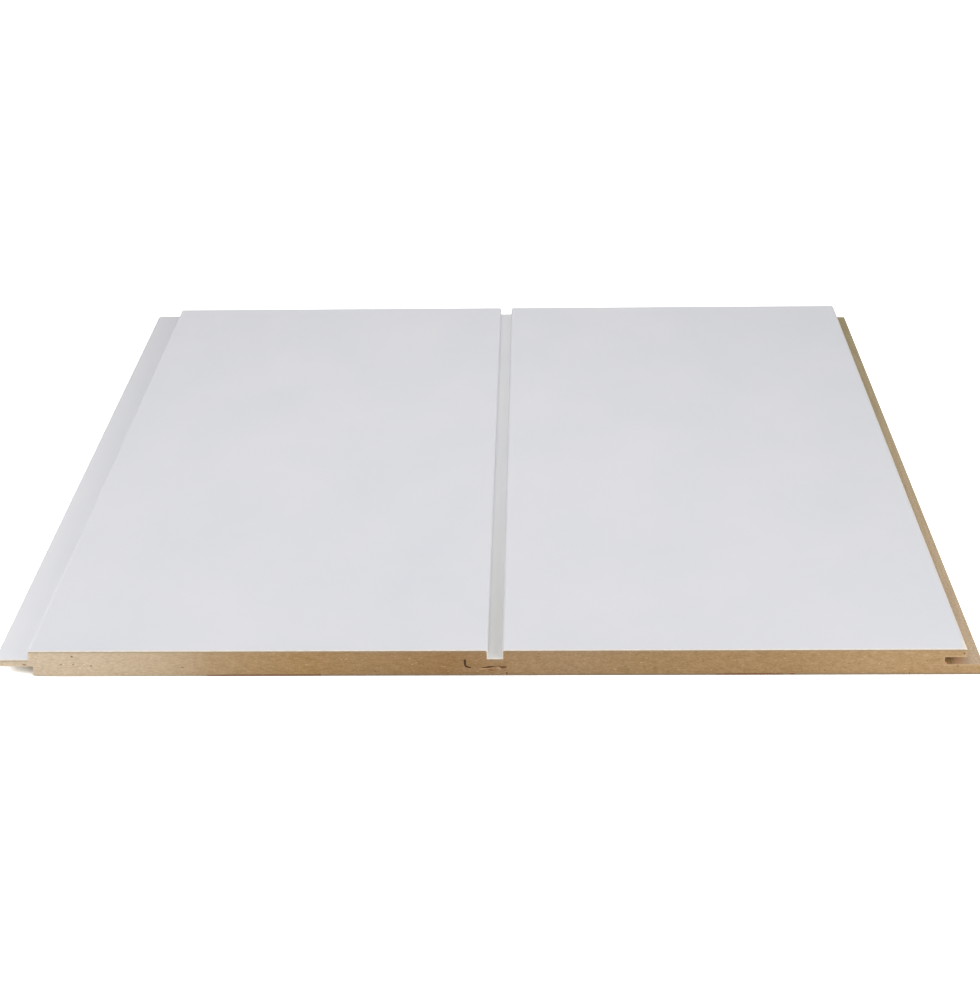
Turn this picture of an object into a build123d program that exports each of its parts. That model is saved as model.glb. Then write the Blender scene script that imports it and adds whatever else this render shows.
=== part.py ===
from build123d import *

import os

# MDF wall panel: one board, milled along both long edges and grooved down the middle, so that its
# painted face reads as two planks. A tongue on one long edge enters the slot of the next panel and
# leaves between them a gap as wide as the groove.
# X runs across the panel from tongue to slot, Y along it, and Z from the back at 0 to the face.
# The origin is the middle of the footprint, on the back. Sizes are in millimetres.

# Board
thickness = 12.0
length = 400.0

# Planks that the face shows
plank_count = 2
plank_pitch = 195.0
gap_width = 6.0

# Tongue
tongue_width = 14.0
tongue_thickness = 3.1
shoulder_setback = 1.2

# Slot, and the lower lip that is nailed to the wall
lower_lip_thickness = 4.8
lower_lip_reach = 7.0
slot_height = 3.4

# Clearances of the joint between two panels
tongue_rest_clearance = 0.1
tongue_end_clearance = 1.0

# Edges
painted_arris_radius = 1.0
cutter_corner_radius = 0.4
tongue_nose_radius = 0.8
lip_nose_radius = 0.4
back_arris_radius = 0.3

# Heights above the back
tongue_floor = lower_lip_thickness + tongue_rest_clearance
tongue_top = tongue_floor + tongue_thickness
slot_floor = lower_lip_thickness
slot_top = slot_floor + slot_height

# Places across the panel
face_width = plank_count * plank_pitch - gap_width
footprint_width = tongue_width + face_width + lower_lip_reach
tongue_tip = -footprint_width / 2
face_left = tongue_tip + tongue_width
back_left = face_left + shoulder_setback
face_right = face_left + face_width
slot_end = face_right - (tongue_width - gap_width + tongue_end_clearance)
lip_tip = face_right + lower_lip_reach

# Share of a wall that one of its two roundings may take
LARGEST_SHARE = 0.45


def cut(left, right, bottom, top):
    """The rectangle of the cross-section between these four sides."""
    return Pos((left + right) / 2, (bottom + top) / 2) * Rectangle(right - left, top - bottom)


def groove_places():
    """The left side of each groove between two planks."""
    return [face_left + place * plank_pitch - gap_width for place in range(1, plank_count)]


def milled_section():
    """The stock's cross-section, less the rebates, the slot and the grooves."""
    section = cut(tongue_tip, lip_tip, 0, thickness)
    section -= cut(tongue_tip, face_left, tongue_top, thickness)
    section -= cut(tongue_tip, back_left, 0, tongue_floor)
    section -= cut(face_right, lip_tip, slot_floor, thickness)
    section -= cut(slot_end, face_right, slot_floor, slot_top)
    for left in groove_places():
        section -= cut(left, left + gap_width, tongue_top, thickness)
    return section


def corners(section, places):
    """The section's corners at these places, each given as x and z."""
    wanted = [Vector(x, z) for x, z in places]
    return [v for v in section.vertices() if any((Vector(v) - w).length < 1e-4 for w in wanted)]


def rounded(section, places, radius, *walls):
    """The section with these corners rounded, by no more than its walls can take."""
    fitting = min([radius] + [LARGEST_SHARE * wall for wall in walls])
    return fillet(corners(section, places), fitting)


def eased_section():
    """The milled section with every corner rounded as its cutter or sanding leaves it."""
    section = milled_section()
    groove_sides = [x for left in groove_places() for x in (left, left + gap_width)]
    upper_lip_thickness = thickness - slot_top
    face_edges = [(x, thickness) for x in (face_left, *groove_sides, face_right)]
    section = rounded(section, face_edges, painted_arris_radius, upper_lip_thickness)
    cutter_corners = [(x, tongue_top) for x in (face_left, *groove_sides)]
    cutter_corners += [(slot_end, slot_floor), (slot_end, slot_top), (back_left, tongue_floor)]
    section = rounded(section, cutter_corners, cutter_corner_radius, slot_height, gap_width)
    tongue_nose = [(tongue_tip, tongue_floor), (tongue_tip, tongue_top)]
    section = rounded(section, tongue_nose, tongue_nose_radius, tongue_thickness)
    lip_noses = [(lip_tip, 0), (lip_tip, slot_floor), (face_right, slot_top)]
    section = rounded(section, lip_noses, lip_nose_radius, lower_lip_thickness, upper_lip_thickness)
    return rounded(section, [(back_left, 0)], back_arris_radius, tongue_floor)


def panel():
    """The whole board, with its sawn ends square across."""
    return extrude(Plane.XZ * eased_section(), amount=length / 2, both=True)


os.makedirs("parts", exist_ok=True)
export_step(panel(), "parts/panel.step")
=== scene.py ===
import math

import bmesh
import bpy
from mathutils import Matrix, Vector

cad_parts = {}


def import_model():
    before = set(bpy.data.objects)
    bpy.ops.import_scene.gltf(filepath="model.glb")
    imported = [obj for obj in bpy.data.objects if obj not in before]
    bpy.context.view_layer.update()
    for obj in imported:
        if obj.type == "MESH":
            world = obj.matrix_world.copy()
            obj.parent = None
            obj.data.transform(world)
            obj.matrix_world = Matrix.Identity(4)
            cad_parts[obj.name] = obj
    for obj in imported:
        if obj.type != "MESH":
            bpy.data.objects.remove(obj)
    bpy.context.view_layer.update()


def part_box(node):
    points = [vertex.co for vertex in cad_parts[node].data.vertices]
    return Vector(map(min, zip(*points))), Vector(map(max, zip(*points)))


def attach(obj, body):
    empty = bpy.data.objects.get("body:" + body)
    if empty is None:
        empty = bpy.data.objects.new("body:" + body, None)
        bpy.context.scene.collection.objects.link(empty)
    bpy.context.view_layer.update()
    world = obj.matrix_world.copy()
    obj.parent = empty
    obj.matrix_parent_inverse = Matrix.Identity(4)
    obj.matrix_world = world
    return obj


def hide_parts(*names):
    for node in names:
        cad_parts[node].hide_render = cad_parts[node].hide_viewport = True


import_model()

# A cut length of white-primed MDF wall panel, lying on its back. X runs across it from the tongue to
# the slot, Y along it with the near sawn end at -Y, and Z from the back to the painted face.
MM = 0.001
panel_low, panel_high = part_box("panel")
THICKNESS = panel_high[2] - panel_low[2]
LENGTH = panel_high[1] - panel_low[1]

# Milled edges
TONGUE_WIDTH = 14.0 * MM
TONGUE_FLOOR = 4.9 * MM
TONGUE_TOP = 8.0 * MM
SHOULDER_SETBACK = 1.2 * MM
LIP_REACH = 7.0 * MM
SLOT_FLOOR = 4.8 * MM
SLOT_TOP = 8.2 * MM
SLOT_DEPTH = 9.0 * MM
GROOVE_WIDTH = 6.0 * MM

# Places across the panel
TONGUE_TIP = panel_low[0]
FACE_LEFT = TONGUE_TIP + TONGUE_WIDTH
BACK_LEFT = FACE_LEFT + SHOULDER_SETBACK
LIP_TIP = panel_high[0]
FACE_RIGHT = LIP_TIP - LIP_REACH
SLOT_END = FACE_RIGHT - SLOT_DEPTH
GROOVE_LEFT = (FACE_LEFT + FACE_RIGHT - GROOVE_WIDTH) / 2
GROOVE_RIGHT = GROOVE_LEFT + GROOVE_WIDTH

# Places along the panel
NEAR_END = -LENGTH / 2
FAR_END = LENGTH / 2

# Roundings
PAINTED_ARRIS = 1.0 * MM
CUTTER_CORNER = 0.4 * MM
TONGUE_NOSE = 0.8 * MM
LIP_NOSE = 0.4 * MM
BACK_ARRIS = 0.3 * MM

# Primer where the saw has cut through it, on level surfaces and on walls, drawn thick enough to show
FILM = 0.2 * MM
WALL_FILM = 0.35 * MM

# Sampling of the section, of its roundings and of the board's length
CELL = 0.6 * MM
ROUNDING_STEPS = 4
LENGTH_STATIONS = 17
END_CROWDING = 3.5
SHARP_EDGE = math.radians(35)

# Lengths that count as nothing: in sums, between places of the section, and between corners to weld
SPECK = 1e-9
HAIR = 1e-6
WELD = 1e-7

# Wear of the sawn ends
TEAR_DEPTH = 0.25 * MM
TEAR_WIDTH = 1.3 * MM
EASED_ARRIS = 0.5 * MM
BRUISED_TONGUE = 2.5 * MM
BRUISED_LIP = 1.5 * MM
LIFTED_CORNER = 0.7 * MM
UNDERCUT = 0.8 * MM
WEAR_REACH = 12.0 * MM

# Broken fibres that stand in the sawn ends: the piece's name, how many to a square metre, the length and
# thickness of the largest, and the slimmest one's thickness as a share of that
FIBRES = [
    ("fibre_slivers", 0.3 / MM ** 2, 1.6 * MM, 0.2 * MM, 0.5),
    ("fibre_bundles", 0.04 / MM ** 2, 6.0 * MM, 0.7 * MM, 0.8),
]

# The shortest fibre's length as a share of the longest one's, the steepest lean across the board in
# radians, and how deep fibres lie below the saw's cut
SHORTEST_FIBRE = 0.35
FIBRE_LEAN = 0.35
FIBRE_SINK = 0.02 * MM
FIBRE_SEED = 7

# How near to the section's outline a fibre may lie, and how many times that distance it may be long
FIBRE_MARGIN = 0.3 * MM
MARGINS_TO_A_FIBRE = 1.6

# Bark fragments: thickness as a share of width, how far and how finely their outline strays, and how
# deep they lie below the saw's cut
FRAGMENT_FLATNESS = 0.15
FRAGMENT_RAGGEDNESS = 0.12 * MM
FRAGMENT_RAG_SIZE = 0.6 * MM
FRAGMENT_SINK = 0.08 * MM
FRAGMENT_SIDES = 8
FRAGMENT_STEPS = 3

# Bark and bast pressed into the near end, and dark strips along its bottom edge. Each fragment is a tone,
# from black bark at 0 to pale bast at 1, and the points x, z and half width, in millimetres, that it runs
# through.
FRAGMENTS = [
    (0.0, [(-8.9, 7.7, 0.34), (-8.85, 7.0, 0.46), (-8.8, 5.4, 0.42), (-8.5, 4.6, 0.38), (-7.7, 4.15, 0.36),
           (-6.4, 3.85, 0.24)]),
    (0.1, [(-2.0, 3.8, 0.12), (-0.5, 3.95, 0.24), (1.0, 4.05, 0.42), (1.9, 4.2, 0.3), (3.2, 4.35, 0.14),
           (4.6, 4.5, 0.1)]),
    (0.12, [(4.6, 4.7, 0.14), (5.5, 4.35, 0.26), (6.6, 4.0, 0.34), (7.7, 4.0, 0.3), (8.3, 4.0, 0.14)]),
    (0.05, [(8.0, 1.5, 0.12), (8.3, 1.2, 0.28), (8.55, 0.8, 0.14)]),
    (0.4, [(0.6, 2.75, 0.1), (2.0, 2.6, 0.2), (3.5, 2.75, 0.1)]),
    (0.75, [(-3.4, 3.1, 0.12), (-1.8, 3.2, 0.34), (0.2, 3.3, 0.26), (2.0, 3.5, 0.12)]),
    (0.8, [(3.9, 3.7, 0.12), (4.9, 3.55, 0.34), (5.8, 2.9, 0.16)]),
    (0.8, [(-4.2, 2.1, 0.12), (-3.7, 2.15, 0.26), (-3.2, 2.05, 0.12)]),
    (0.85, [(6.4, 0.65, 0.1), (7.2, 0.45, 0.22), (7.7, 0.4, 0.1)]),
    (0.2, [(-170.7, 9.3, 0.14), (-170.2, 9.45, 0.28), (-169.7, 9.3, 0.12)]),
    (0.3, [(-163.1, 5.0, 0.1), (-162.6, 5.1, 0.22), (-162.2, 4.95, 0.1)]),
    (0.45, [(-175.4, 5.9, 0.1), (-175.0, 5.8, 0.24), (-174.7, 5.7, 0.1)]),
    (0.45, [(-170.4, 5.7, 0.1), (-170.0, 5.7, 0.24), (-169.6, 5.6, 0.1)]),
    (0.4, [(-191.0, 5.9, 0.12), (-190.2, 5.6, 0.26), (-189.4, 5.8, 0.12)]),
    (1.05, [(-174.4, 5.8, 0.1), (-174.0, 5.8, 0.36), (-173.5, 5.7, 0.1)]),
    (1.05, [(-172.0, 6.8, 0.1), (-171.5, 7.0, 0.34), (-171.0, 6.9, 0.1)]),
    (1.05, [(-168.1, 4.1, 0.1), (-167.5, 4.0, 0.4), (-166.9, 4.0, 0.1)]),
    (1.05, [(-165.8, 5.8, 0.1), (-165.3, 5.8, 0.34), (-164.9, 5.8, 0.1)]),
    (1.05, [(-164.2, 4.1, 0.1), (-163.6, 4.0, 0.36), (-163.0, 4.0, 0.1)]),
    (1.05, [(-184.4, 7.9, 0.14), (-184.3, 7.2, 0.32), (-184.0, 6.5, 0.14)]),
    (0.25, [(-125.4, 4.3, 0.12), (-124.9, 4.4, 0.24), (-124.5, 4.3, 0.12)]),
    # Three thin dark strips along the bottom edge, just above the back
    (0.27, [(-115.0, 0.45, 0.2), (-101.0, 0.45, 0.28), (-86.0, 0.45, 0.26), (-68.0, 0.45, 0.2)]),
    (0.27, [(94.0, 0.45, 0.2), (105.0, 0.45, 0.28), (115.0, 0.45, 0.28), (121.0, 0.45, 0.2)]),
    (0.27, [(123.6, 0.45, 0.2), (124.8, 0.45, 0.28), (126.0, 0.45, 0.2)]),
    (0.15, [(193.9, 10.2, 0.14), (194.2, 9.9, 0.28), (194.3, 9.5, 0.14)]),
    (0.45, [(191.8, 4.6, 0.14), (192.0, 4.3, 0.26), (192.1, 3.8, 0.12)]),
    (0.75, [(186.0, 6.6, 0.2), (186.4, 5.9, 0.4), (186.9, 5.3, 0.45), (187.4, 4.7, 0.3)]),
]

# Strength of the sky's light on the panel
AMBIENT = 0.3

# Floor: half its width, how far it reaches in under the panel, its gap below, and its shadow's width
FLOOR_HALF = 6.0
FLOOR_TUCK = 2 * MM
FLOOR_GAP = 0.02 * MM
SHADOW_REACH = 20 * MM

# Lamps: name, place, target, width, depth, watts, and whether smooth surfaces mirror them
LAMPS = [
    ("overhead", (-0.05, 0.05, 0.7), (-0.05, 0.05, 0), 0.5, 0.5, 1.93, True),
    ("behind", (0.0, 1.2, 0.7), (0, 0, 0), 1.2, 0.6, 1.2, True),
    ("side_right", (1.0, 0.0, 0.8), (0, 0, 0), 0.8, 0.8, 1.65, True),
    ("side_left", (-0.70, -0.30, 0.40), (-0.1, -0.1, 0), 0.4, 0.4, 0.92, False),
    ("front_right", (0.50, -0.60, 0.25), (0.15, -0.18, 0), 0.3, 0.3, 1.53, False),
    ("corner_left", (-0.36, -0.42, 0.22), (-0.17, -0.17, 0), 0.2, 0.2, 0.31, False),
    ("corner_right", (0.38, -0.40, 0.20), (0.17, -0.17, 0), 0.2, 0.2, 0.15, False),
]

# The photograph's camera. Its focal length is in pixels, of which the picture has 981 on its long side.
CAMERA_PLACE = (0.02083, -0.89961, 0.41978)
CAMERA_TURN = math.radians(-1.495)
CAMERA_DIP = math.radians(25.612)
CAMERA_ROLL = math.radians(-0.91)
FOCAL_PIXELS = 1980.3
LONG_SIDE_PIXELS = 981
SENSOR_WIDTH = 36
NEAREST_SEEN = 0.05
FARTHEST_SEEN = 50


def linear(code):
    """An sRGB hex colour as linear RGBA."""
    parts = [int(code[i:i + 2], 16) / 255 for i in (1, 3, 5)]
    return (*[c / 12.92 if c <= 0.04045 else ((c + 0.055) / 1.055) ** 2.4 for c in parts], 1.0)


def add(tree, kind, inputs=None, stops=None, **settings):
    """Adds a node. Settings are its properties and inputs are values, sockets or whole nodes.

    Stops are a ramp's places and colours, each colour in hex or as a share of white.
    """
    node = tree.nodes.new(kind)
    for name, value in settings.items():
        setattr(node, name, value)
    for key, value in (inputs or {}).items():
        if isinstance(value, bpy.types.Node):
            value = next(socket for socket in value.outputs if socket.enabled)
        if isinstance(value, bpy.types.NodeSocket):
            tree.links.new(value, node.inputs[key])
        else:
            node.inputs[key].default_value = value
    if stops:
        elements = node.color_ramp.elements
        while len(elements) < len(stops):
            elements.new(1.0)
        for element, (place, colour) in zip(elements, stops):
            element.position = place
            element.color = linear(colour) if isinstance(colour, str) else (colour, colour, colour, 1)
    return node


def maths(tree, operation, *values):
    """The result of one step of arithmetic."""
    return add(tree, "ShaderNodeMath", dict(enumerate(values)), operation=operation).outputs[0]


def along(tree, value, low, high, bottom=0.0, top=1.0):
    """The value's share of the way from low to high, as a number from bottom to top."""
    return add(tree, "ShaderNodeMapRange", {"Value": value, "From Min": low, "From Max": high,
                                            "To Min": bottom, "To Max": top}).outputs[0]


def within(tree, value, rise, full, ebb, end, top=1.0):
    """A number that climbs from 0 to top as the value goes from rise to full, and falls from ebb to end."""
    climb = along(tree, value, rise, full)
    return maths(tree, "MULTIPLY", climb, along(tree, value, end, ebb, 0.0, top))


# The section

# A place well past the board on any side
FAR = 1.0

# What is open around the section, as left, right, bottom, top, and whether primer coats its walls
OPENINGS = [
    (-FAR, FAR, THICKNESS, FAR, True),
    (-FAR, FACE_LEFT, TONGUE_TOP, FAR, True),
    (GROOVE_LEFT, GROOVE_RIGHT, TONGUE_TOP, FAR, True),
    (FACE_RIGHT, FAR, SLOT_TOP, FAR, False),
    (SLOT_END, FAR, SLOT_FLOOR, SLOT_TOP, False),
    (-FAR, BACK_LEFT, -FAR, TONGUE_FLOOR, False),
    (-FAR, TONGUE_TIP, -FAR, FAR, False),
    (LIP_TIP, FAR, -FAR, FAR, False),
    (-FAR, FAR, -FAR, 0, False),
]

# Outer corners as x, z, the way they point and their radius
OUTER_CORNERS = [
    (FACE_LEFT, THICKNESS, -1, 1, PAINTED_ARRIS),
    (GROOVE_LEFT, THICKNESS, 1, 1, PAINTED_ARRIS),
    (GROOVE_RIGHT, THICKNESS, -1, 1, PAINTED_ARRIS),
    (FACE_RIGHT, THICKNESS, 1, 1, PAINTED_ARRIS),
    (TONGUE_TIP, TONGUE_TOP, -1, 1, TONGUE_NOSE),
    (TONGUE_TIP, TONGUE_FLOOR, -1, -1, TONGUE_NOSE),
    (BACK_LEFT, 0, -1, -1, BACK_ARRIS),
    (LIP_TIP, 0, 1, -1, LIP_NOSE),
    (LIP_TIP, SLOT_FLOOR, 1, 1, LIP_NOSE),
    (FACE_RIGHT, SLOT_TOP, 1, -1, LIP_NOSE),
]

# Inner corners as x, z, the way from them into the open and their radius
INNER_CORNERS = [
    (FACE_LEFT, TONGUE_TOP, -1, 1, CUTTER_CORNER),
    (GROOVE_LEFT, TONGUE_TOP, 1, 1, CUTTER_CORNER),
    (GROOVE_RIGHT, TONGUE_TOP, -1, 1, CUTTER_CORNER),
    (BACK_LEFT, TONGUE_FLOOR, -1, -1, CUTTER_CORNER),
    (SLOT_END, SLOT_FLOOR, 1, 1, CUTTER_CORNER),
    (SLOT_END, SLOT_TOP, 1, -1, CUTTER_CORNER),
]


def ways_out(x, z, primed_only):
    """How far across and how far up or down a point of the board lies from each opening."""
    for left, right, bottom, top, primed in OPENINGS:
        if primed or not primed_only:
            yield max(left - x, x - right, 0), max(bottom - z, z - top, 0)


def depth_below(x, z, primed_only):
    """How far a point of the board lies from the nearest opening. It is zero on the outline."""
    return min(math.hypot(across, up) for across, up in ways_out(x, z, primed_only))


def coat_above(x, z):
    """How far a point of the board lies straight below a painted surface."""
    return min(up for across, up in ways_out(x, z, True) if across == 0)


def in_coat(x, z):
    """Whether a point of the board lies in the primer, drawn thicker on the walls than on the floors."""
    return any(math.hypot(across / WALL_FILM, up / FILM) < 1 for across, up in ways_out(x, z, True))


def rounded(x, z):
    """Where a point of the square-cornered section goes when the corners are rounded."""
    for corner_x, corner_z, way_x, way_z, radius in OUTER_CORNERS:
        u = (x - corner_x) * way_x + radius
        v = (z - corner_z) * way_z + radius
        if 0 < u <= radius + SPECK and 0 < v <= radius + SPECK:
            shrink = max(u, v) / math.hypot(u, v)
            return corner_x + (u * shrink - radius) * way_x, corner_z + (v * shrink - radius) * way_z
    for corner_x, corner_z, way_x, way_z, radius in INNER_CORNERS:
        u, v = (x - corner_x) * way_x, (z - corner_z) * way_z
        if (abs(u) < SPECK and 0 <= v <= radius) or (abs(v) < SPECK and 0 <= u <= radius):
            angle = math.pi / 4 * (1 + (u - v) / radius)
            arc_u, arc_v = radius * (1 - math.cos(angle)), radius * (1 - math.sin(angle))
            return corner_x + arc_u * way_x, corner_z + arc_v * way_z
    return x, z


def grid_lines():
    """The places across and up the section where its cells meet."""
    across = [TONGUE_TIP, FACE_LEFT, BACK_LEFT, GROOVE_LEFT, GROOVE_RIGHT, SLOT_END, FACE_RIGHT, LIP_TIP]
    across += [FACE_LEFT + WALL_FILM, GROOVE_LEFT - WALL_FILM, GROOVE_RIGHT + WALL_FILM]
    upward = [0, SLOT_FLOOR, TONGUE_FLOOR, TONGUE_TOP - FILM, TONGUE_TOP, SLOT_TOP]
    upward += [THICKNESS - FILM, THICKNESS]
    for side, corners in ((-1, OUTER_CORNERS), (1, INNER_CORNERS)):
        for corner_x, corner_z, way_x, way_z, radius in corners:
            for step in range(1, ROUNDING_STEPS + 1):
                reach = side * radius * step / ROUNDING_STEPS
                across.append(corner_x + way_x * reach)
                upward.append(corner_z + way_z * reach)
    lines = []
    for breaks in (across, upward):
        breaks = sorted(set(round(place, 7) for place in breaks))
        places = [breaks[0]]
        for low, high in zip(breaks, breaks[1:]):
            count = max(1, math.ceil((high - low) / CELL - HAIR))
            places += [low + (high - low) * i / count for i in range(1, count + 1)]
        lines.append(places)
    return lines


def bruise(x, corner_x, size):
    """How far a bruised corner has drawn an end back at this place across it."""
    nearness = max(0.0, 1 - abs(x - corner_x) / size)
    return size * (1 - math.sqrt(1 - nearness ** 2))


def place_measures(x, z):
    """What a place of the section is like, by the names of the sheet's layers.

    primed is 1 on the primed outline. under_primer and under_surface are the depths in metres below that
    outline and below any, and under_coat is the depth straight down from paint. bruise is how far the far
    end's corners are worn back, and lift and undercut how far the near end's lower left corner is pushed
    up and its wall below the tongue pushed in.
    """
    under_primer = depth_below(x, z, True)
    worn_back = bruise(x, TONGUE_TIP, BRUISED_TONGUE)
    if z > SLOT_TOP - CELL:
        worn_back += bruise(x, FACE_RIGHT, BRUISED_LIP)
    height = z / TONGUE_FLOOR
    nearness = max(0.0, 1 - (x - FACE_LEFT) / WEAR_REACH) if x > FACE_LEFT else 0.0
    return {
        "primed": 1.0 if under_primer < HAIR else 0.0,
        "under_primer": under_primer,
        "under_coat": coat_above(x, z),
        "under_surface": depth_below(x, z, False),
        "bruise": worn_back,
        "lift": LIFTED_CORNER * nearness * max(0.0, 1 - height),
        "undercut": UNDERCUT * nearness * height if z < TONGUE_FLOOR + HAIR else 0.0,
    }


def section_sheet():
    """The section as a flat sheet of small cells, x across and y up, with the measures of each place.

    Its faces have sawn, which is 1 in bare board and 2 in the cut primer.
    """
    across, upward = grid_lines()
    mesh = bmesh.new()
    for name in place_measures(0, 0):
        mesh.verts.layers.float.new(name)
    sawn = mesh.faces.layers.float.new("sawn")
    corners = {}
    for left, right in zip(across, across[1:]):
        for bottom, top in zip(upward, upward[1:]):
            x, z = (left + right) / 2, (bottom + top) / 2
            if depth_below(x, z, False) == 0:
                continue
            ring = []
            for place in ((left, bottom), (right, bottom), (right, top), (left, top)):
                if place not in corners:
                    corners[place] = mesh.verts.new((*rounded(*place), 0))
                    for name, value in place_measures(*place).items():
                        corners[place][mesh.verts.layers.float[name]] = value
                ring.append(corners[place])
            mesh.faces.new(ring)[sawn] = 2.0 if in_coat(x, z) else 1.0
    sheet = bpy.data.meshes.new("section_sheet")
    mesh.to_mesh(sheet)
    mesh.free()
    return sheet


# Geometry trees


def new_tree(name, numbers=(), whole_numbers=(), materials=()):
    """A geometry tree with these named inputs, and its input sockets. Start is the mesh it grows from."""
    tree = bpy.data.node_groups.new(name, "GeometryNodeTree")
    tree.interface.new_socket(name="Start", in_out="INPUT", socket_type="NodeSocketGeometry")
    for kind, labels in (("Float", numbers), ("Int", whole_numbers), ("Material", materials)):
        for label in labels:
            tree.interface.new_socket(name=label, in_out="INPUT", socket_type="NodeSocket" + kind)
    tree.interface.new_socket(name="Piece", in_out="OUTPUT", socket_type="NodeSocketGeometry")
    return tree, add(tree, "NodeGroupInput").outputs


def attribute(tree, name):
    """A float attribute of the mesh inside a geometry tree."""
    return add(tree, "GeometryNodeInputNamedAttribute", {"Name": name}, data_type="FLOAT").outputs[0]


def compared(tree, value, operation, limit):
    """Whether the value is above, below or equal to the limit."""
    return add(tree, "FunctionNodeCompare", {"A": value, "B": limit}, data_type="FLOAT", operation=operation)


def crowded_path(tree, given):
    """A line up +Z from 0 to the length, whose points lie closer together towards both ends."""
    line = add(tree, "GeometryNodeMeshLine", {"Count": given["Stations"], "Offset": (0, 0, 0)})
    last = maths(tree, "SUBTRACT", given["Stations"], 1.0)
    share = maths(tree, "DIVIDE", add(tree, "GeometryNodeInputIndex").outputs[0], last)
    centred = maths(tree, "MULTIPLY_ADD", share, 2.0, -1.0)
    from_end = maths(tree, "SUBTRACT", 1.0, maths(tree, "ABSOLUTE", centred))
    crowded = maths(tree, "SUBTRACT", 1.0, maths(tree, "POWER", from_end, given["End Crowding"]))
    place = maths(tree, "MULTIPLY_ADD", maths(tree, "SIGN", centred), crowded, 1.0)
    height = maths(tree, "MULTIPLY", place, maths(tree, "MULTIPLY", given["Length"], 0.5))
    point = add(tree, "ShaderNodeCombineXYZ", {"Z": height})
    spread = add(tree, "GeometryNodeSetPosition", {"Geometry": line, "Position": point})
    return add(tree, "GeometryNodeMeshToCurve", {"Mesh": spread})


def worn_ends(tree, given, board):
    """The board with its ends torn back between the fibres, and the bruises of three of their corners."""
    half = maths(tree, "MULTIPLY", given["Length"], 0.5)
    place = add(tree, "ShaderNodeSeparateXYZ", {0: add(tree, "GeometryNodeInputPosition")}).outputs
    side = maths(tree, "SIGN", place["Y"])
    in_end = add(tree, "ShaderNodeCombineXYZ", {"X": place["X"], "Y": side, "Z": place["Z"]})
    fineness = maths(tree, "DIVIDE", 1.0, given["Tear Width"])
    torn = add(tree, "ShaderNodeTexNoise", {"Vector": in_end, "Scale": fineness, "Detail": 3.0})
    bare = along(tree, attribute(tree, "under_primer"), FILM, 2 * FILM)
    tear = maths(tree, "MULTIPLY", maths(tree, "MULTIPLY", torn.outputs[0], bare), given["Tear Depth"])

    # Both far corners are worn back, and the near end's lower left one is pushed up and in
    at_far_end = maths(tree, "GREATER_THAN", side, 0.0)
    far_worn = maths(tree, "MULTIPLY", attribute(tree, "bruise"), at_far_end)
    eased = maths(tree, "MULTIPLY", attribute(tree, "primed"), given["Eased Arris"])
    out = maths(tree, "ABSOLUTE", place["Y"])
    fade = along(tree, out, maths(tree, "SUBTRACT", half, given["Wear Reach"]), half)
    worn = maths(tree, "ADD", maths(tree, "ADD", tear, far_worn), eased)
    wear = maths(tree, "MULTIPLY", worn, fade)
    y = maths(tree, "MULTIPLY", side, maths(tree, "SUBTRACT", out, wear))
    near_fade = maths(tree, "MULTIPLY", fade, maths(tree, "LESS_THAN", side, 0.0))
    z = maths(tree, "MULTIPLY_ADD", attribute(tree, "lift"), near_fade, place["Z"])
    x = maths(tree, "MULTIPLY_ADD", attribute(tree, "undercut"), near_fade, place["X"])
    moved = add(tree, "ShaderNodeCombineXYZ", {"X": x, "Y": y, "Z": z})
    return add(tree, "GeometryNodeSetPosition", {"Geometry": board, "Position": moved})


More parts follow.
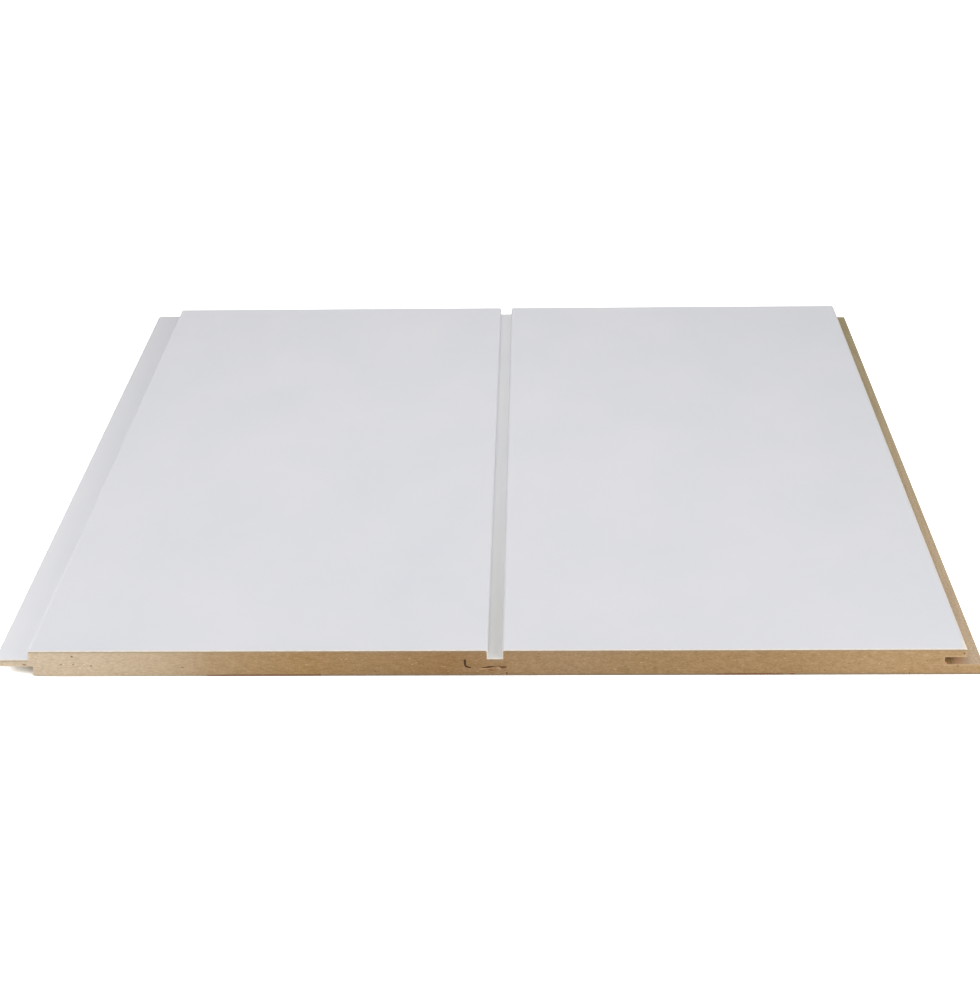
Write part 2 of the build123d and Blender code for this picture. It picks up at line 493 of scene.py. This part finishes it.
def board_tree():
    """The tree that sweeps the section along the board, closes its ends, wears them and finishes all."""
    tree, given = new_tree(
        "swept_board", ("Length", "End Crowding", "Tear Depth", "Tear Width", "Eased Arris", "Wear Reach"),
        ("Stations",), ("Primer", "Cut Primer", "Sawn", "Milled", "Sanded"))

    # Long sides from the section's outline, ends from the section itself
    neighbours = add(tree, "GeometryNodeInputMeshEdgeNeighbors")
    outline = add(tree, "GeometryNodeMeshToCurve", {
        "Mesh": given["Start"], "Selection": compared(tree, neighbours, "EQUAL", 1.0)})
    unsawn = add(tree, "GeometryNodeRemoveAttribute", {"Geometry": outline, "Name": "sawn"})
    sides = add(tree, "GeometryNodeCurveToMesh", {
        "Curve": crowded_path(tree, given), "Profile Curve": unsawn})
    far_end = add(tree, "GeometryNodeFlipFaces", {"Mesh": given["Start"]})
    lift = add(tree, "ShaderNodeCombineXYZ", {"Z": given["Length"]})
    near_end = add(tree, "GeometryNodeTransform", {"Geometry": given["Start"], "Translation": lift})
    joined = add(tree, "GeometryNodeJoinGeometry")
    for part in (sides, far_end, near_end):
        tree.links.new(part.outputs[0], joined.inputs[0])
    closed = add(tree, "GeometryNodeMergeByDistance", {"Geometry": joined, "Distance": WELD})
    shift = add(tree, "ShaderNodeCombineXYZ", {"Y": maths(tree, "MULTIPLY", given["Length"], 0.5)})
    laid = add(tree, "GeometryNodeTransform", {
        "Geometry": closed, "Translation": shift, "Rotation": (math.pi / 2, 0, 0)})
    worn = worn_ends(tree, given, laid)

    # Smooth within a surface, sharp at its edges
    gentle = compared(tree, add(tree, "GeometryNodeInputMeshEdgeAngle"), "LESS_THAN", SHARP_EDGE)
    smooth = add(tree, "GeometryNodeSetShadeSmooth", {"Geometry": worn, "Shade Smooth": True})
    shown = add(tree, "GeometryNodeSetShadeSmooth", {"Geometry": smooth, "Shade Smooth": gentle},
                domain="EDGE")

    # Milled all over, then what else covers the back, the primed side and the ends
    height = add(tree, "ShaderNodeSeparateXYZ", {0: add(tree, "GeometryNodeInputPosition")}).outputs["Z"]
    finishes = (
        ("Milled", None),
        ("Sanded", compared(tree, height, "LESS_THAN", BACK_ARRIS / 3)),
        ("Primer", compared(tree, attribute(tree, "primed"), "GREATER_THAN", 0.99)),
        ("Sawn", compared(tree, attribute(tree, "sawn"), "GREATER_THAN", 0.5)),
        ("Cut Primer", compared(tree, attribute(tree, "sawn"), "GREATER_THAN", 1.5)),
    )
    for finish, where in finishes:
        shown = add(tree, "GeometryNodeSetMaterial", {"Geometry": shown, "Material": given[finish]})
        if where:
            tree.links.new(where.outputs[0], shown.inputs["Selection"])
    add(tree, "NodeGroupOutput", {0: add(tree, "GeometryNodeRealizeInstances", {"Geometry": shown})})
    return tree


def chosen_at_random(tree, low, high, seed):
    """A random number for each point. The node's float sockets are inputs 2 and 3 and output 1."""
    node = add(tree, "FunctionNodeRandomValue", {2: low, 3: high, "Seed": seed}, data_type="FLOAT")
    return node.outputs[1]


def sliver_tree():
    """The tree that strews broken fibre bundles over both sawn ends, lying across the board."""
    tree, given = new_tree(
        "fibre_slivers", ("Length", "Density", "Sliver Length", "Sliver Thickness", "Slimmest", "Sink"),
        ("Seed",), ("Fibre",))
    inner = maths(tree, "SUBTRACT", maths(tree, "MULTIPLY", given["Length"], 0.5), given["Sink"])
    margin = attribute(tree, "under_surface")
    spindle = add(tree, "GeometryNodeMeshUVSphere", {"Segments": 4, "Rings": 4, "Radius": 0.5})
    length_share = chosen_at_random(tree, SHORTEST_FIBRE, 1.0, 3)
    girth_share = chosen_at_random(tree, given["Slimmest"], 1.0, 4)
    wanted = maths(tree, "MULTIPLY", given["Sliver Length"], length_share)
    girth = maths(tree, "MULTIPLY", given["Sliver Thickness"], girth_share)
    long = maths(tree, "MINIMUM", wanted, maths(tree, "MULTIPLY", margin, MARGINS_TO_A_FIBRE))
    scale = add(tree, "ShaderNodeCombineXYZ", {"X": long, "Y": girth, "Z": girth})
    angles = add(tree, "ShaderNodeCombineXYZ", {
        "X": chosen_at_random(tree, 0.0, math.pi, 2),
        "Z": chosen_at_random(tree, -FIBRE_LEAN, FIBRE_LEAN, 1)})
    ends = add(tree, "GeometryNodeJoinGeometry")
    for way, seed_shift in ((-1.0, 0.0), (1.0, 1.0)):
        strewn = add(tree, "GeometryNodeDistributePointsOnFaces", {
            "Mesh": given["Start"], "Selection": compared(tree, margin, "GREATER_THAN", FIBRE_MARGIN),
            "Density": given["Density"], "Seed": maths(tree, "ADD", given["Seed"], seed_shift)})
        laid = add(tree, "GeometryNodeInstanceOnPoints", {
            "Points": strewn, "Instance": spindle, "Rotation": angles, "Scale": scale})
        toned = add(tree, "GeometryNodeStoreNamedAttribute", {
            "Geometry": laid, "Name": "tone", "Value": chosen_at_random(tree, 0.0, 1.0, 5)},
            data_type="FLOAT", domain="INSTANCE")
        place = add(tree, "ShaderNodeCombineXYZ", {"Y": maths(tree, "MULTIPLY", inner, way)})
        stood = add(tree, "GeometryNodeTransform", {
            "Geometry": toned, "Translation": place, "Rotation": (math.pi / 2, 0, 0)})
        tree.links.new(stood.outputs[0], ends.inputs[0])
    real = add(tree, "GeometryNodeRealizeInstances", {"Geometry": ends})
    finished = add(tree, "GeometryNodeSetMaterial", {"Geometry": real, "Material": given["Fibre"]})
    add(tree, "NodeGroupOutput", {0: finished})
    return tree


def fragment_sheet():
    """The fragments' courses as edges in the section's plane, with girth and tone at their points."""
    mesh = bmesh.new()
    girth = mesh.verts.layers.float.new("girth")
    tone = mesh.verts.layers.float.new("tone")
    for shade, points in FRAGMENTS:
        last = None
        for x, z, half_width in points:
            vertex = mesh.verts.new((x * MM, z * MM, 0))
            vertex[girth] = half_width * MM
            vertex[tone] = shade
            if last:
                mesh.edges.new((last, vertex))
            last = vertex
    sheet = bpy.data.meshes.new("fragment_sheet")
    mesh.to_mesh(sheet)
    mesh.free()
    return sheet


def fragment_tree():
    """The tree that gives each course a flattened, ragged and tapering body at the near sawn end."""
    tree, given = new_tree("bark_fragments", ("Length", "Flatness", "Raggedness", "Sink"),
                           ("Sides", "Steps"), ("Bark",))
    courses = add(tree, "GeometryNodeMeshToCurve", {"Mesh": given["Start"]})
    stepped = add(tree, "GeometryNodeSubdivideCurve", {"Curve": courses, "Cuts": given["Steps"]})
    ring = add(tree, "GeometryNodeCurvePrimitiveCircle", {"Resolution": given["Sides"], "Radius": 1.0})
    body = add(tree, "GeometryNodeCurveToMesh", {
        "Curve": stepped, "Profile Curve": ring, "Scale": attribute(tree, "girth"), "Fill Caps": True})
    wobble = add(tree, "ShaderNodeTexNoise", {"Scale": 1 / FRAGMENT_RAG_SIZE, "Detail": 2.0})
    centred = add(tree, "ShaderNodeVectorMath", {0: wobble.outputs["Color"], 1: (0.5, 0.5, 0.5)},
                  operation="SUBTRACT")
    shove = add(tree, "ShaderNodeVectorMath", {0: centred, "Scale": given["Raggedness"]}, operation="SCALE")
    ragged = add(tree, "GeometryNodeSetPosition", {"Geometry": body, "Offset": shove})
    squash = add(tree, "ShaderNodeCombineXYZ", {"X": 1.0, "Y": 1.0, "Z": given["Flatness"]})
    flat = add(tree, "GeometryNodeTransform", {"Geometry": ragged, "Scale": squash})
    reach = maths(tree, "SUBTRACT", given["Sink"], maths(tree, "MULTIPLY", given["Length"], 0.5))
    stood = add(tree, "GeometryNodeTransform", {
        "Geometry": flat, "Rotation": (math.pi / 2, 0, 0),
        "Translation": add(tree, "ShaderNodeCombineXYZ", {"Y": reach})})
    real = add(tree, "GeometryNodeRealizeInstances", {"Geometry": stood})
    finished = add(tree, "GeometryNodeSetMaterial", {"Geometry": real, "Material": given["Bark"]})
    add(tree, "NodeGroupOutput", {0: finished})
    return tree


def grown(name, mesh, tree, values):
    """A finished piece: what the tree makes of this mesh, as a plain mesh of its own."""
    start = bpy.data.objects.new(name + "_start", mesh)
    bpy.context.scene.collection.objects.link(start)
    modifier = start.modifiers.new(name, "NODES")
    modifier.node_group = tree
    for item in tree.interface.items_tree:
        if item.in_out == "INPUT" and item.name in values:
            modifier[item.identifier] = values[item.name]
    graph = bpy.context.evaluated_depsgraph_get()
    result = bpy.data.meshes.new_from_object(start.evaluated_get(graph))
    bpy.data.objects.remove(start)
    result.name = name
    piece = bpy.data.objects.new(name, result)
    bpy.context.scene.collection.objects.link(piece)
    return piece


# Finishes


def new_material(name):
    """An empty material's tree, its principled shader and its Object coordinates."""
    material = bpy.data.materials.new(name)
    material.use_nodes = True
    tree = material.node_tree
    tree.nodes.clear()
    shader = add(tree, "ShaderNodeBsdfPrincipled")
    add(tree, "ShaderNodeOutputMaterial", {"Surface": shader})
    return material, tree, shader, add(tree, "ShaderNodeTexCoord").outputs["Object"]


def grain(tree, where, x, y, z, detail=3.0, roughness=0.55):
    """Noise from 0 to 1 whose features are x, y and z metres long."""
    stretched = add(tree, "ShaderNodeMapping", {"Vector": where, "Scale": (1 / x, 1 / y, 1 / z)})
    return add(tree, "ShaderNodeTexNoise", {"Vector": stretched, "Scale": 1.0, "Detail": detail,
                                            "Roughness": roughness}).outputs[0]


def ramp(tree, value, *stops):
    """The colour of these stops at this value."""
    return add(tree, "ShaderNodeValToRGB", {"Fac": value}, stops=stops).outputs[0]


def blended(tree, factor, first, second, how="MIX"):
    """The second colour over the first, by this factor. Each is a hex colour or a socket."""
    mix = add(tree, "ShaderNodeMix", {"Factor": factor}, data_type="RGBA", blend_type=how)
    colour_inputs = [socket for socket in mix.inputs if socket.type == "RGBA"]
    for socket, colour in zip(colour_inputs, (first, second)):
        if isinstance(colour, str):
            socket.default_value = linear(colour)
        else:
            tree.links.new(colour, socket)
    return next(socket for socket in mix.outputs if socket.type == "RGBA")


def tinted(tree, colour, tint):
    """The colour times the tint."""
    return blended(tree, 1.0, colour, tint, "MULTIPLY")


def measured(tree, name):
    """A measure that the mesh carries, inside a material."""
    return add(tree, "ShaderNodeAttribute", attribute_name=name).outputs["Fac"]


def finish(tree, shader, colour, height, roughness, depth, relief):
    """Gives the shader its colour, a roughness and the height's relief, that deep and that strong.

    The roughness has two values, for the pattern's peaks and for its hollows.
    """
    on_peaks, in_hollows = roughness
    tree.links.new(colour, shader.inputs["Base Color"])
    tree.links.new(along(tree, height, 0.35, 0.65, in_hollows, on_peaks), shader.inputs["Roughness"])
    bump = add(tree, "ShaderNodeBump", {"Height": height, "Strength": relief, "Distance": depth})
    tree.links.new(bump.outputs[0], shader.inputs["Normal"])


def coordinate(tree, where, axis):
    """The place along one axis, in metres from the panel's origin."""
    return add(tree, "ShaderNodeSeparateXYZ", {0: where}).outputs[axis]


def primer():
    """Water-based acrylic primer, sprayed and sanded at the works: matt cool white, faint orange peel."""
    material, tree, shader, where = new_material("sprayed_acrylic_primer")
    peel = grain(tree, where, 1.2 * MM, 1.2 * MM, 1.2 * MM, detail=2.0)
    cloud = grain(tree, where, 45 * MM, 60 * MM, 45 * MM)
    tone = ramp(tree, cloud, (0.3, "#DDDEE3"), (0.7, "#E2E2E6"))

    # Painted light and shade: the tongue is painted whitest at the near end and dullest at the far one
    across, lengthwise = coordinate(tree, where, "X"), coordinate(tree, where, "Y")
    tongue_painted_light = along(tree, across, FACE_LEFT, FACE_LEFT - 0.5 * MM, 0.0, 0.2)
    from_near_end = along(tree, lengthwise, NEAR_END, FAR_END)
    tone = blended(tree, tongue_painted_light, tone, ramp(tree, from_near_end, (0.0, "#FFFFFF"), (1.0, "#B3B3B6")))

    # Painted shade in the recess: the groove's floor is painted darker and warmer at the near end, whiter at
    # the far one
    in_groove = within(tree, across, GROOVE_LEFT - 0.2 * MM, GROOVE_LEFT + 0.3 * MM,
                       GROOVE_RIGHT - 0.3 * MM, GROOVE_RIGHT + 0.2 * MM, 0.2)
    coat = ramp(tree, from_near_end, (0.0, "#CEC79A"), (0.4, "#EDECE2"), (1.0, "#FFFFF5"))
    tone = blended(tree, in_groove, tone, coat)

    # Painted highlight: the left arris is painted whiter, most at the near end
    left_arris = within(tree, across, FACE_LEFT - 0.3 * MM, FACE_LEFT + 0.1 * MM,
                        FACE_LEFT + 0.7 * MM, FACE_LEFT + 1.5 * MM)
    arris_painted_highlight = along(tree, from_near_end, 0.4, 0.0, 0.0, 0.3)
    tone = blended(tree, maths(tree, "MULTIPLY", left_arris, arris_painted_highlight), tone, "#FFFFFF")

    # Over the lip's sanded arris it is thin and the board's warm colour shows through; near the near end a
    # painted highlight in pale cream lies over it
    thin = along(tree, across, FACE_RIGHT - 1.8 * MM, FACE_RIGHT - 0.2 * MM, 0.0, 0.45)
    tone = blended(tree, thin, tone, "#D9CDBE")
    lip_painted_highlight = maths(tree, "MULTIPLY", along(tree, across, FACE_RIGHT - 2.2 * MM, FACE_RIGHT - 1.0 * MM),
                   along(tree, lengthwise, NEAR_END + 10 * MM, NEAR_END + 3 * MM, 0.0, 0.8))
    tone = blended(tree, lip_painted_highlight, tone, "#F3E6CF")
    finish(tree, shader, tone, peel, roughness=(0.5, 0.62), depth=0.02 * MM, relief=0.2)
    return material


def cut_primer():
    """The same primer where the saw has cut through it: a creamy line, dulled by sawdust."""
    material, tree, shader, where = new_material("sawn_through_primer")
    dust = grain(tree, where, 2.5 * MM, 2.5 * MM, 0.8 * MM)
    cream = ramp(tree, dust, (0.35, "#E8DCCA"), (0.65, "#F5ECDE"))
    finish(tree, shader, cream, dust, roughness=(0.6, 0.8), depth=0.03 * MM, relief=0.2)
    return material


def paled_toward_cream(tree, where, colour, fibres, strength=1.0):
    """The colour paled toward cream over the tongue's half of the end, thinning out to the groove, more where
    the fibre pattern is high.
    """
    share = along(tree, coordinate(tree, where, "X"), TONGUE_TIP, GROOVE_LEFT)
    spread = ramp(tree, share, (0.0, 0.76), (0.2, 0.64), (0.34, 0.46), (0.43, 0.22), (0.52, 0.1), (0.65, 0.0))
    fibre_share = along(tree, fibres, 0.3, 0.65, 0.7 * strength, 1.15 * strength)
    return blended(tree, maths(tree, "MULTIPLY", spread, fibre_share), colour, "#F6E5CC")


def sawn_board():
    """Saw-cut MDF: matted wood fibre with short flecks lying across, and dark pits where bundles tore out."""
    material, tree, shader, where = new_material("sawn_fibreboard")
    fibres = grain(tree, where, 1.8 * MM, 0.5 * MM, 0.5 * MM, detail=4.0, roughness=0.65)
    speckle = grain(tree, where, 0.55 * MM, 0.55 * MM, 0.4 * MM, detail=2.0)
    height = maths(tree, "MULTIPLY_ADD", speckle, 0.45, maths(tree, "MULTIPLY", fibres, 0.55))
    flecked = ramp(tree, height, (0.34, "#AE9064"), (0.5, "#BD9F76"), (0.66, "#CDB08A"))

    # Broad patches lean from olive to pink, as bark and glue vary through the mat
    patches = grain(tree, where, 5 * MM, 5 * MM, 2 * MM, detail=2.0)
    lean = ramp(tree, patches, (0.36, "#F2EDE2"), (0.5, "#FBF6EF"), (0.64, "#FFFBFC"))
    colour = tinted(tree, flecked, lean)

    # Painted light and shade across the end: darkest just left of the groove and palest at the slot;
    # the left plank is also more olive and the right one greyer
    share = along(tree, coordinate(tree, where, "X"), FACE_LEFT, FACE_RIGHT)
    light_and_tone_across = ramp(tree, share, (0.3, "#F5EEDB"), (0.36, "#F2EEEA"), (0.45, "#E2D6C6"), (0.53, "#F1EEF2"),
                 (0.58, "#F2F1F8"), (0.66, "#ECE9E3"), (0.82, "#F1EDE6"), (0.9, "#FFFFFF"))
    colour = tinted(tree, colour, light_and_tone_across)

    # Small dark pits, in about a third of the cells of a loose pattern
    cells = add(tree, "ShaderNodeTexVoronoi", {"Vector": where, "Scale": 1 / (2.4 * MM)})
    chance = add(tree, "ShaderNodeSeparateXYZ", {0: cells.outputs["Color"]}).outputs["X"]
    core = along(tree, cells.outputs["Distance"], 0.16, 0.08)
    pits = maths(tree, "MULTIPLY", core, along(tree, chance, 0.62, 0.68))
    colour = blended(tree, maths(tree, "MULTIPLY", pits, 0.5), colour, "#674B2B")

    # Milled edges stand out pale, the end turns darker and greyer towards the bottom edge, the tongue's half
    # is paled toward cream, and primer has soaked into the mat under the painted faces
    milled_edge = along(tree, measured(tree, "under_surface"), 0.9 * MM, 0.2 * MM, 0.0, 0.35)
    colour = blended(tree, milled_edge, colour, "#E3C6A0")
    foot = along(tree, coordinate(tree, where, "Z"), 1.2 * MM, 0.4 * MM, 0.0, 0.75)
    colour = blended(tree, foot, colour, "#8C7E6C")
    colour = paled_toward_cream(tree, where, colour, fibres)
    soaked = along(tree, measured(tree, "under_coat"), 1.3 * MM, 0.3 * MM, 0.0, 0.65)
    colour = blended(tree, soaked, colour, "#9C9284")
    pitted = maths(tree, "SUBTRACT", height, maths(tree, "MULTIPLY", pits, 0.3))
    finish(tree, shader, colour, pitted, roughness=(0.8, 0.95), depth=0.12 * MM, relief=0.4)
    return material


def milled_board():
    """Cutter-milled MDF in the rebates and the slot: smooth, streaked along the board, misted with primer."""
    material, tree, shader, where = new_material("milled_fibreboard")
    streaks = grain(tree, where, 0.5 * MM, 25 * MM, 0.5 * MM)
    speckle = grain(tree, where, 0.7 * MM, 1.2 * MM, 0.7 * MM, detail=2.0)
    height = maths(tree, "MULTIPLY_ADD", speckle, 0.4, maths(tree, "MULTIPLY", streaks, 0.6))
    bare = ramp(tree, height, (0.36, "#A3875D"), (0.5, "#B59B71"), (0.64, "#C6AD85"))

    # Painted light in the slot: its floor is painted paler towards the mouth, stopping short of the lip that
    # stands out below it
    across = coordinate(tree, where, "X")
    slot_painted_light = within(tree, across, SLOT_END + 3.5 * MM, SLOT_END + 5 * MM,
                    FACE_RIGHT - 0.5 * MM, FACE_RIGHT + 0.5 * MM, 0.7)
    bare = blended(tree, slot_painted_light, bare, "#D6B491")

    # Primer has misted the lip beside the painted face
    near_lip = along(tree, across, FACE_RIGHT - 2 * MM, FACE_RIGHT + 1 * MM, 0.0, 0.35)
    mist = maths(tree, "MULTIPLY", near_lip, along(tree, speckle, 0.3, 0.7, 0.6, 1.2))
    misted = blended(tree, mist, bare, "#DAD3C8")

    # Painted shade: it is painted darker and yellower from the near end to the far one, as the light falls
    # off along the board
    along_board = along(tree, coordinate(tree, where, "Y"), NEAR_END, FAR_END)
    painted_falloff = ramp(tree, along_board, (0.0, "#FFF9F6"), (0.5, "#F1EEE3"), (1.0, "#D7DAC7"))
    colour = tinted(tree, misted, painted_falloff)
    finish(tree, shader, colour, height, roughness=(0.7, 0.85), depth=0.06 * MM, relief=0.35)
    return material


def sanded_board():
    """Wide-belt sanded MDF on the back: even, fine-flecked, with faint belt lines along the board."""
    material, tree, shader, where = new_material("sanded_fibreboard")
    flecks = grain(tree, where, 1.1 * MM, 1.1 * MM, 1.1 * MM, roughness=0.6)
    belt = grain(tree, where, 0.8 * MM, 90 * MM, 0.8 * MM, detail=2.0)
    height = maths(tree, "MULTIPLY_ADD", belt, 0.4, maths(tree, "MULTIPLY", flecks, 0.6))
    tone = ramp(tree, height, (0.36, "#9F845C"), (0.5, "#AC9168"), (0.64, "#B89E76"))
    cloud = grain(tree, where, 60 * MM, 90 * MM, 60 * MM, detail=2.0)
    colour = tinted(tree, tone, ramp(tree, cloud, (0.35, "#F4F0EA"), (0.65, "#FFFFFF")))
    finish(tree, shader, colour, height, roughness=(0.68, 0.8), depth=0.04 * MM, relief=0.25)
    return material


def wood_fibre():
    """Loose softwood fibre bundles, each of one tone from bark-brown to straw, with fine streaks."""
    material, tree, shader, where = new_material("broken_wood_fibre")
    streak = grain(tree, where, 0.9 * MM, 0.3 * MM, 0.12 * MM)
    own_tone = maths(tree, "MULTIPLY_ADD", measured(tree, "tone"), 0.8, -0.05)
    mixed = maths(tree, "MULTIPLY_ADD", streak, 0.3, own_tone)
    colour = ramp(tree, mixed, (0.05, "#876740"), (0.35, "#AF8F67"), (0.7, "#C4A479"), (0.95, "#DDC29B"))
    colour = paled_toward_cream(tree, where, colour, streak, 0.85)
    finish(tree, shader, colour, streak, roughness=(0.75, 0.9), depth=0.02 * MM, relief=0.3)
    return material


def pressed_bark():
    """Pine bark and bast that the refiner let through, pressed flat: black-brown to rust to pale straw."""
    material, tree, shader, where = new_material("pressed_pine_bark")
    flake = grain(tree, where, 0.7 * MM, 0.3 * MM, 0.25 * MM)
    own_tone = maths(tree, "MULTIPLY_ADD", measured(tree, "tone"), 0.9, -0.12)
    mixed = maths(tree, "MULTIPLY_ADD", flake, 0.3, own_tone)
    colour = ramp(tree, mixed, (0.03, "#352004"), (0.2, "#6E4522"), (0.45, "#A06B45"),
                  (0.8, "#D2AE86"), (0.95, "#EFDFC6"))
    finish(tree, shader, colour, flake, roughness=(0.7, 0.85), depth=0.03 * MM, relief=0.3)
    return material


# Pieces


def board(sheet):
    """The whole panel, which stands for the machined solid."""
    piece = grown("fibreboard_panel", sheet, board_tree(), {
        "Length": LENGTH, "Stations": LENGTH_STATIONS, "End Crowding": END_CROWDING,
        "Tear Depth": TEAR_DEPTH, "Tear Width": TEAR_WIDTH, "Eased Arris": EASED_ARRIS,
        "Wear Reach": WEAR_REACH,
        "Primer": primer(), "Cut Primer": cut_primer(), "Sawn": sawn_board(),
        "Milled": milled_board(), "Sanded": sanded_board(),
    })
    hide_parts("panel")
    return piece


def slivers(sheet, fibre, name, density, long, thick, slimmest):
    """Broken fibre bundles of one size, that stand out of the torn fibreboard up to the saw's cut."""
    return grown(name, sheet, sliver_tree(), {
        "Length": LENGTH, "Density": density, "Sliver Length": long, "Sliver Thickness": thick,
        "Slimmest": slimmest, "Sink": thick / 2 + FIBRE_SINK, "Seed": FIBRE_SEED, "Fibre": fibre,
    })


def fragments():
    """Fragments of bark and bast in the near end, the largest of them below the groove."""
    return grown("bark_fragments", fragment_sheet(), fragment_tree(), {
        "Length": LENGTH, "Flatness": FRAGMENT_FLATNESS, "Raggedness": FRAGMENT_RAGGEDNESS,
        "Sink": FRAGMENT_SINK, "Sides": FRAGMENT_SIDES, "Steps": FRAGMENT_STEPS, "Bark": pressed_bark(),
    })


# Surroundings


def shows_white(tree):
    """A socket that is 1 for what the camera, a reflection or glass sees, and 0 for light on the panel."""
    ray = add(tree, "ShaderNodeLightPath").outputs
    seen = maths(tree, "MAXIMUM", ray["Is Camera Ray"], ray["Is Glossy Ray"])
    return maths(tree, "MAXIMUM", seen, ray["Is Transmission Ray"])


def floor():
    """A white sheet round the panel's foot, which glows to plain white except in the shadow close to it.

    It is open under the panel and clear from below, so that a view from there shows the panel's back.
    """
    left, right = BACK_LEFT + FLOOR_TUCK, LIP_TIP - FLOOR_TUCK
    near, far = NEAR_END + FLOOR_TUCK, FAR_END - FLOOR_TUCK
    outer = [(x * FLOOR_HALF, y * FLOOR_HALF) for x, y in ((-1, -1), (1, -1), (1, 1), (-1, 1))]
    inner = [(left, near), (right, near), (right, far), (left, far)]
    corners = [(x, y, -FLOOR_GAP) for x, y in outer + inner]
    sides = [(i, (i + 1) % 4, (i + 1) % 4 + 4, i + 4) for i in range(4)]
    mesh = bpy.data.meshes.new("floor")
    mesh.from_pydata(corners, [], sides)
    sheet = bpy.data.objects.new("floor", mesh)
    bpy.context.scene.collection.objects.link(sheet)
    material = bpy.data.materials.new("white_sweep")
    material.use_nodes = True
    tree = material.node_tree
    tree.nodes.clear()
    paper = add(tree, "ShaderNodeBsdfDiffuse", {"Color": linear("#EDEDED")})
    # Painted shadow: the glow fades where the panel hems the floor in, and warms there as painted bounce
    # light
    openness = add(tree, "ShaderNodeAmbientOcclusion", {"Distance": SHADOW_REACH}, samples=8).outputs["AO"]
    lit = along(tree, openness, 0.12, 0.3, 0.14, 1.0)
    strength = maths(tree, "MULTIPLY", shows_white(tree), lit)
    painted_bounce_tint = ramp(tree, lit, (0.14, "#DCCF9A"), (0.5, "#FAFAEE"), (0.8, "#FFFFFF"))
    glow = add(tree, "ShaderNodeEmission", {"Color": painted_bounce_tint, "Strength": strength})
    lit_paper = add(tree, "ShaderNodeAddShader", {0: paper, 1: glow})
    below = add(tree, "ShaderNodeNewGeometry").outputs["Backfacing"]
    clear = add(tree, "ShaderNodeBsdfTransparent")
    add(tree, "ShaderNodeOutputMaterial", {
        "Surface": add(tree, "ShaderNodeMixShader", {0: below, 1: lit_paper, 2: clear})})
    mesh.materials.append(material)


def world():
    """Even studio light, and plain white wherever the camera or a reflection sees past the floor."""
    scene_world = bpy.data.worlds.new("studio")
    bpy.context.scene.world = scene_world
    scene_world.use_nodes = True
    tree = scene_world.node_tree
    tree.nodes.clear()
    strength = along(tree, shows_white(tree), 0, 1, AMBIENT, 1.0)
    sky = add(tree, "ShaderNodeBackground", {"Color": (1, 1, 1, 1), "Strength": strength})
    add(tree, "ShaderNodeOutputWorld", {"Surface": sky})


def softbox(name, place, target, width, depth, watts, mirrored):
    """A rectangular area lamp that faces its target, and that smooth surfaces may mirror or not."""
    lamp = bpy.data.lights.new(name, "AREA")
    lamp.shape = "RECTANGLE"
    lamp.size, lamp.size_y = width, depth
    lamp.energy = watts
    box = bpy.data.objects.new(name, lamp)
    box.visible_glossy = mirrored
    box.location = place
    box.rotation_euler = (Vector(target) - Vector(place)).to_track_quat("-Z", "Y").to_euler()
    bpy.context.scene.collection.objects.link(box)


def camera():
    """The photograph's view: a long lens looking down on the near sawn end."""
    data = bpy.data.cameras.new("camera")
    data.sensor_width = SENSOR_WIDTH
    data.lens = FOCAL_PIXELS * SENSOR_WIDTH / LONG_SIDE_PIXELS
    data.clip_start, data.clip_end = NEAREST_SEEN, FARTHEST_SEEN
    level = Vector((math.cos(CAMERA_TURN), -math.sin(CAMERA_TURN), 0))
    ahead = Vector((math.sin(CAMERA_TURN), math.cos(CAMERA_TURN), 0))
    forward = ahead * math.cos(CAMERA_DIP) - Vector((0, 0, math.sin(CAMERA_DIP)))
    upright = level.cross(forward)
    right = level * math.cos(CAMERA_ROLL) + upright * math.sin(CAMERA_ROLL)
    up = upright * math.cos(CAMERA_ROLL) - level * math.sin(CAMERA_ROLL)
    turned = Matrix((right, up, -forward)).transposed().to_4x4()
    view = bpy.data.objects.new("camera", data)
    bpy.context.scene.collection.objects.link(view)
    view.matrix_world = Matrix.Translation(CAMERA_PLACE) @ turned
    bpy.context.scene.camera = view


camera()
world()
floor()
for lamp in LAMPS:
    softbox(*lamp)
section = section_sheet()
fibre = wood_fibre()
for piece in (board(section), *[slivers(section, fibre, *kind) for kind in FIBRES], fragments()):
    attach(piece, "root")
bpy.context.scene.view_settings.view_transform = "Standard"
